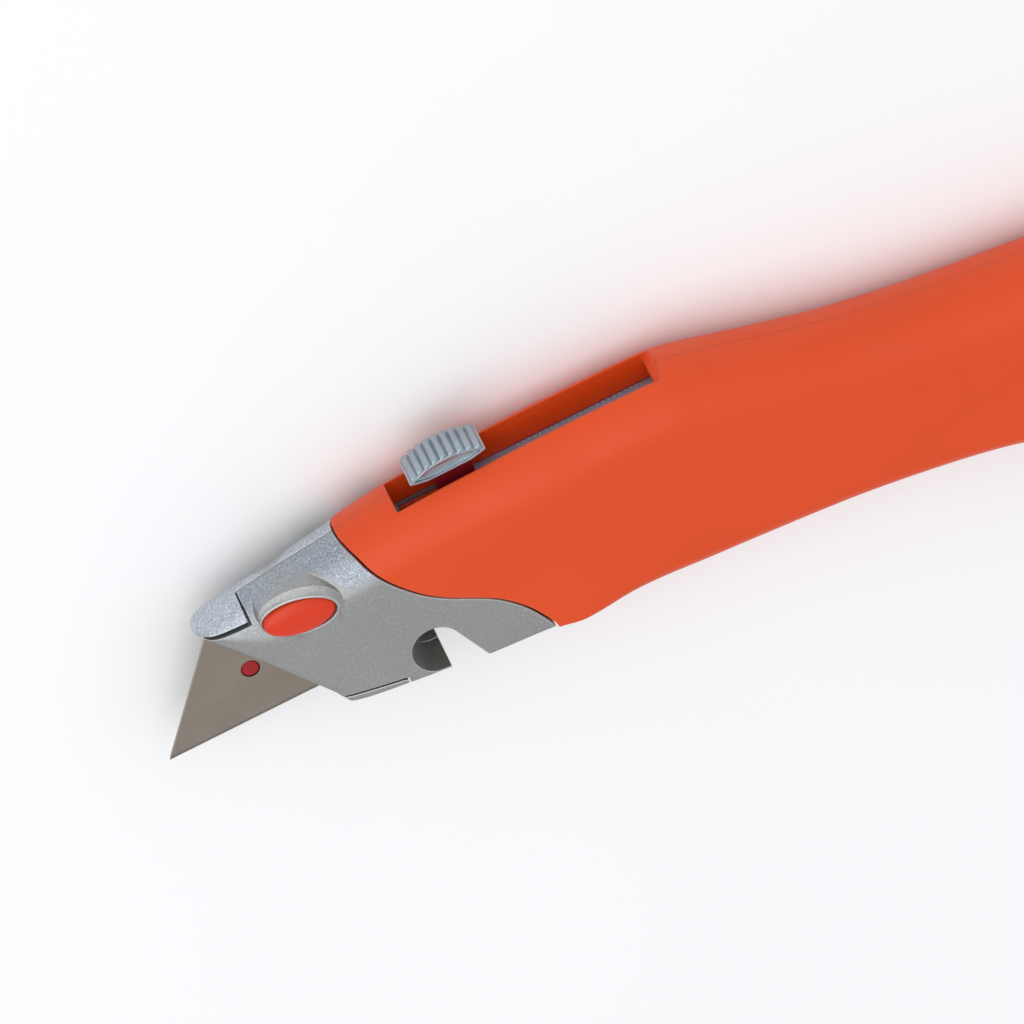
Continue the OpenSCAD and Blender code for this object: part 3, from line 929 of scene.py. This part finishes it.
def ground_blade(name, grind):
    """A trapezoid blade with three holes, two back notches and a bevel on both sides."""
    length = 61.0
    height = 19.0
    slant = 14.0
    half = 0.3
    honed = 0.01
    lean = slant / height
    outline = [(0, 0), (length, 0), (length - lean * grind, grind), (length - slant, height),
               (slant, height), (lean * grind, grind)]
    verts = [(x, y, side * (honed if y == 0 else half)) for side in (1, -1) for x, y in outline]
    n = len(outline)
    faces = [(0, 1, 2, 5), (5, 2, 3, 4)]
    faces += [tuple(n + k for k in f) for f in ((5, 2, 1, 0), (4, 3, 2, 5))]
    faces += [(k, n + k, n + (k + 1) % n, (k + 1) % n) for k in range(n)]
    obj = new_object(name, verts, faces)
    tidy(obj, 1e-5)
    mid = length / 2
    cutters = [prism("hole", circle(mid + k * HOLE_PITCH, FIRST_HOLE[1], 1.5, 40), -2, 2)
               for k in (-1, 0, 1)]
    reach = 1.6
    for x in (mid - 6.5, mid + 6.5):
        arc = [(x + reach * math.cos(a), height - 2.1 + 1.1 * math.sin(a))
               for a in (math.pi + math.pi * k / 12 for k in range(13))]
        above = [(x + reach, height + 3), (x - reach, height + 3)]
        cutters.append(prism("notch", arc + above, -2, 2))
    return cut(obj, *cutters)


def paint_blade(obj, grind):
    """The flats take the first material and the ground bevels the second."""
    points = obj.data.vertices
    for face in obj.data.polygons:
        face.material_index = int(max(points[v].co.y for v in face.vertices) < grind + 0.01)


class KNIFE_OT_blade(KnifePiece, bpy.types.Operator):
    """Build the blade and the spare blades in the magazine"""

    bl_idname = "knife.blade"
    bl_label = "Blades"

    def execute(self, context):
        grind = self.sizes.grind
        obj = ground_blade("blade", grind)
        paint_blade(obj, grind)
        obj.data.transform(Matrix.Translation((BLADE_X, 0, 0)))
        shade(obj, 5)
        finish_piece(obj, "carrier", "blade_steel", "blade", "blade", edge="edge")
        spare = ground_blade("spare_blades", grind)
        spare.data.transform(Matrix.Translation((0, -9.5, 0)))
        repeat(spare, 3, (0, 0, -1.07), (0, 0, 0.66), material=finishes()["blade"])
        in_magazine(spare)
        shade(spare, 5)
        finish_piece(spare, "magazine", "blade_steel", "blade", "spare_blades")
        return {"FINISHED"}


class KNIFE_OT_carrier(KnifePiece, bpy.types.Operator):
    """Build the blade carrier with its arm and pegs"""

    bl_idname = "knife.carrier"
    bl_label = "Blade Carrier"

    def execute(self, context):
        x, y = FIRST_HOLE
        nose = [(x + 1.75 * math.cos(a), y + 1.75 * math.sin(a))
                for a in (math.pi / 2 + math.pi * k / 16 for k in range(17))]
        plate = prism("blade_carrier", nose + [(34.2, 7.15), (34.2, 13.5), (-2, 13.5), (-4, 10.65)],
                      -2.1, -0.31)
        block = prism("block", [(20.1, 17.8), (31.5, 2.4), (34.2, 2.4), (34.2, 17.8)], -3.4, 3.4)
        combine(plate, [block], "UNION")
        cut(plate, slab("socket", 25.7, 32.4, 11.2, 30, -2.15, 2.15))
        soften(plate, 0.2)
        pegs = lathe("peg", [(0, -1.0), (1.38, -1.0), (1.38, 0.12), (1.22, 0.28), (0, 0.28)], 32)
        repeat(pegs, 3, (x, y, 0), (HOLE_PITCH, 0, 0), material=finishes()["carrier"])
        combine(plate, [pegs], "UNION")
        shade(plate)
        finish_piece(plate, "carrier", "carrier_plastic", "carrier", "blade_carrier")
        return {"FINISHED"}


class KNIFE_OT_thumb_cap(KnifePiece, bpy.types.Operator):
    """Build the ribbed thumb cap"""

    bl_idname = "knife.thumb_cap"
    bl_label = "Thumb Cap"

    def execute(self, context):
        x0 = 22.5
        y0 = 27.7
        length = 12.5
        crown = 2.5
        rise = 1.7
        half = 3.1
        mid = x0 + length / 2
        radius = ((length / 2) ** 2 + rise ** 2) / (2 * rise)
        reach = math.asin(length / 2 / radius)
        centre = y0 + crown - radius
        top = [(mid + radius * math.sin(a), centre + radius * math.cos(a))
               for a in (reach * (1 - k / 12) for k in range(25))]
        outline = top + [(x0, y0 + 0.6), (x0 + 2.6, y0), (x0 + length - 2.6, y0),
                         (x0 + length, y0 + 0.6)]
        obj = prism("thumb_cap", outline, -half, half)
        dish = [(mid + (x - mid) * 0.86, y0 + 1.15 + (y - y0 - 1.15) * 0.72) for x, y in outline]
        cut(obj, prism("dish_near", dish, half - 0.28, half + 1),
            prism("dish_far", dish, -half - 1, -half + 0.28))
        soften(obj, 0.14, merge=0.02)
        count = self.sizes.ribs
        step = 2 * reach * 0.95 / count
        width = radius * step
        ridge = [(-width * 0.5, radius - 0.5), (-width * 0.5, radius - 0.02),
                 (-width * 0.38, radius + 0.16), (-width * 0.2, radius + 0.42),
                 (0.0, radius + 0.52), (width * 0.2, radius + 0.42),
                 (width * 0.38, radius + 0.16), (width * 0.5, radius - 0.02),
                 (width * 0.5, radius - 0.5)]
        rib = prism("rib", list(reversed(ridge)), -half + 0.06, half - 0.06)
        soften(rib, 0.16, angle=60, merge=0.01, segments=3)
        repeat(rib, count, (mid, centre, 0), (0, 0, 0), -step * (count - 1) / 2, step,
               finishes()["cap"])
        obj.data.materials.clear()
        join(obj, rib)
        shade(obj)
        finish_piece(obj, "thumb_button", "plated_steel", "cap", "thumb_cap")
        return {"FINISHED"}


def join(obj, *others):
    """Adds the other meshes to the object's own and removes them."""
    bm = bmesh.new()
    for o in (obj, *others):
        bm.from_mesh(o.data)
    bm.to_mesh(obj.data)
    bm.free()
    for o in others:
        bpy.data.objects.remove(o, do_unlink=True)
    return obj


class KNIFE_OT_track(KnifePiece, bpy.types.Operator):
    """Build the slotted steel strip with its detent teeth"""

    bl_idname = "knife.track"
    bl_label = "Slide Track"

    def execute(self, context):
        obj = slab("slide_track", 18, 64, 20.5, 21.3, -5.6, 5.6)
        slit = slab("slit", 25.3, 61.8, 19, 23, -2.3, 2.3)
        mouth = slab("mouth", 19.4, 26.3, 19, 23, -3.9, 3.9)
        cut(obj, slit, mouth)
        soften(obj, 0.08, merge=0.01)
        look = finishes()["strip"]
        first = 39.5
        pitch = 0.95
        rail = 3.45
        for z in (rail, -rail):
            tooth = loft("tooth", [[(x, y, zz + z) for x, y, zz in ring] for ring in
                                   ([(-0.28, 21.25, -0.26), (0.28, 21.25, -0.26),
                                     (0.28, 21.25, 0.26), (-0.28, 21.25, 0.26)],
                                    [(-0.2, 21.55, -0.18), (0.2, 21.55, -0.18),
                                     (0.2, 21.55, 0.18), (-0.2, 21.55, 0.18)])])
            soften(tooth, 0.06, merge=0.01)
            repeat(tooth, self.sizes.teeth, (first, 0, 0), (pitch, 0, 0), material=look)
            obj.data.materials.clear()
            join(obj, tooth)
        shade(obj)
        finish_piece(obj, "body", "spring_steel", "strip", "slide_track")
        return {"FINISHED"}


class KNIFE_OT_fasteners(KnifePiece, bpy.types.Operator):
    """Build the screws and the lanyard eyelet"""

    bl_idname = "knife.fasteners"
    bl_label = "Fasteners"

    def screw(self, name, x, y, z):
        """A pan-head screw with a hexagon socket; z is the face under its head."""
        shank = 1.25
        head = 2.08
        profile = [(0, 4.0), (1.1, 4.0), (shank, 3.8), (shank, z), (1.95, z), (head, z - 0.15),
                   (head, z - 0.9), (1.9, z - 1.22), (1.6, z - 1.36), (0, z - 1.4)]
        obj = lathe(name, list(reversed(profile)))
        socket = prism("socket", circle(0, 0, 0.95, 6), z - 3, z - 0.5)
        cut(obj, socket)
        obj.data.transform(Matrix.Translation((x, y, 0)))
        return shade(obj, 30)

    def execute(self, context):
        first = self.screw("handle_screws", *HANDLE_SCREWS[0])
        join(first, *[self.screw("screw", *seat) for seat in HANDLE_SCREWS[1:]])
        finish_piece(first, "body", "screw_steel", "screw", "handle_screws")
        nose = self.screw("nose_screw", *NOSE_SCREW)
        finish_piece(nose, "body", "screw_steel", "screw", "nose_screw")
        wall = [(2.1, -8.5), (2.2, -8.75), (2.45, -8.88), (2.7, -8.8), (2.7, 8.8), (2.45, 8.88),
                (2.2, 8.75), (2.1, 8.5)]
        eyelet = lathe("lanyard_eyelet", wall, 56)
        eyelet.data.transform(Matrix.Translation((*LANYARD, 0)))
        shade(eyelet, 50)
        finish_piece(eyelet, "body", "plated_steel", "cap", "lanyard_eyelet")
        return {"FINISHED"}


class KNIFE_OT_magazine(KnifePiece, bpy.types.Operator):
    """Build the magazine tray and the tail cap"""

    bl_idname = "knife.magazine"
    bl_label = "Magazine"

    def execute(self, context):
        tray = slab("magazine_tray", -1.8, 64.5, -10.6, 10.6, -2.6, 2.6)
        cut(tray, slab("well", -0.9, 61.8, -9.7, 9.7, -1.4, 9))
        soften(tray, 0.2)
        in_magazine(tray)
        finish_piece(tray, "magazine", "tray_plastic", "tray", "magazine_tray")
        cap = outer_form("tail_cap")
        cut(cap, in_magazine(slab("ahead", -200, 64.75, -80, 80, -80, 80)))
        tidy(cap, 0.02)
        shade(cap)
        finish_piece(cap, "magazine", "handle_plastic", "handle", "tail_cap")
        return {"FINISHED"}


class KNIFE_OT_inner_fittings(KnifePiece, bpy.types.Operator):
    """Give the small inner pieces their finishes"""

    bl_idname = "knife.inner_fittings"
    bl_label = "Inner Fittings"

    def execute(self, context):
        look = finishes()
        inner = {"nose_dowel": "screw", "blade_guide": "strip", "button_retainer": "strip",
                 "release_spring": "strip", "button_pin": "screw", "blade_clip": "strip",
                 "thumb_stem": "stem", "latch_pin": "screw", "thumb_spring": "strip",
                 "blade_keeper": "strip", "cap_pins": "screw"}
        for node, finish in inner.items():
            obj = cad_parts[node]
            if not obj.material_slots:
                obj.data.materials.append(None)
            for slot in obj.material_slots:
                slot.material = look[finish]
        return {"FINISHED"}


class KNIFE_OT_stage(KnifePiece, bpy.types.Operator):
    """Build the pale floor, the soft lights and the camera"""

    bl_idname = "knife.stage"
    bl_label = "Stage"

    def light(self, name, where, size, power):
        """A square soft light that looks at the knife."""
        data = bpy.data.lights.new(name, "AREA")
        data.shape = "SQUARE"
        data.size = size
        data.energy = power
        obj = bpy.data.objects.new(name, data)
        bpy.context.collection.objects.link(obj)
        obj.location = where
        obj.rotation_euler = (-Vector(where)).to_track_quat("-Z", "Y").to_euler()

    def floor(self):
        low = CAD_BOX[0]
        reach = 6.0
        obj = new_object("floor", [(-reach, -reach, low.z), (reach, -reach, low.z),
                                   (reach, reach, low.z), (-reach, reach, low.z)], [(0, 1, 2, 3)])
        s = Shader("pale_floor", (0.97, 0.97, 0.97), roughness=0.8)
        s.colour_from(s.mix(s.noise(60, 3), "Fac", (0.965, 0.965, 0.965), (0.975, 0.975, 0.975)))
        obj.data.materials.append(s.material)

    def camera(self):
        """Looks at the knife from above its spine, rolled so that the tail points up right."""
        tilt = math.radians(37.8)
        roll = math.radians(26.5)
        back = Vector((0, math.sin(tilt), math.cos(tilt)))
        side = Vector((1, 0, 0))
        up = back.cross(side)
        right_axis = side * math.cos(roll) - up * math.sin(roll)
        up_axis = back.cross(right_axis)
        data = bpy.data.cameras.new("camera")
        data.lens = 600
        data.sensor_width = 36
        obj = bpy.data.objects.new("camera", data)
        bpy.context.collection.objects.link(obj)
        field = 152.8 * MM
        distance = field * data.lens / data.sensor_width
        target = ZERO + Vector((34.3, 13.1, 0)) * MM
        turn = Matrix((right_axis, up_axis, back)).transposed().to_4x4()
        obj.matrix_world = Matrix.Translation(target + back * distance) @ turn
        data.clip_start = 0.02
        data.clip_end = 30
        bpy.context.scene.camera = obj

    def execute(self, context):
        scene = context.scene
        world = bpy.data.worlds.new("studio")
        world.use_nodes = True
        world.node_tree.nodes["Background"].inputs["Color"].default_value = (0.95, 0.97, 1.0, 1)
        world.node_tree.nodes["Background"].inputs["Strength"].default_value = 0.7
        scene.world = world
        scene.view_settings.view_transform = "Standard"
        self.floor()
        self.light("key", (-0.45, 0.2, 1.0), 1.2, 5.7)
        self.light("sky", (0.1, 1.1, 0.85), 1.2, 2.4)
        self.camera()
        return {"FINISHED"}


# ---- panel and registration

OPERATORS = (KNIFE_OT_handle, KNIFE_OT_nose, KNIFE_OT_release_button, KNIFE_OT_blade,
             KNIFE_OT_carrier, KNIFE_OT_thumb_cap, KNIFE_OT_track, KNIFE_OT_fasteners,
             KNIFE_OT_magazine, KNIFE_OT_inner_fittings, KNIFE_OT_stage)


class KNIFE_PT_pieces(bpy.types.Panel):
    """Lists the knife's sizes, colours and pieces"""

    bl_idname = "KNIFE_PT_pieces"
    bl_label = "Utility Knife"
    bl_space_type = "VIEW_3D"
    bl_region_type = "UI"
    bl_category = "Knife"

    def draw(self, context):
        layout = self.layout
        for group in (context.scene.knife_sizes, context.scene.knife_colours):
            column = layout.column(align=True)
            for name in group.__annotations__:
                column.prop(group, name)
        for operator in OPERATORS:
            layout.operator(operator.bl_idname)


CLASSES = (KnifeColours, KnifeSizes, *OPERATORS, KNIFE_PT_pieces)


def register():
    for cls in CLASSES:
        bpy.utils.register_class(cls)
    bpy.types.Scene.knife_colours = PointerProperty(type=KnifeColours)
    bpy.types.Scene.knife_sizes = PointerProperty(type=KnifeSizes)


def unregister():
    del bpy.types.Scene.knife_sizes
    del bpy.types.Scene.knife_colours
    for cls in reversed(CLASSES):
        bpy.utils.unregister_class(cls)


def main():
    """Builds every piece in order."""
    register()
    for operator in OPERATORS:
        group, name = operator.bl_idname.split(".")
        getattr(getattr(bpy.ops, group), name)()


if __name__ == "__main__":
    main()
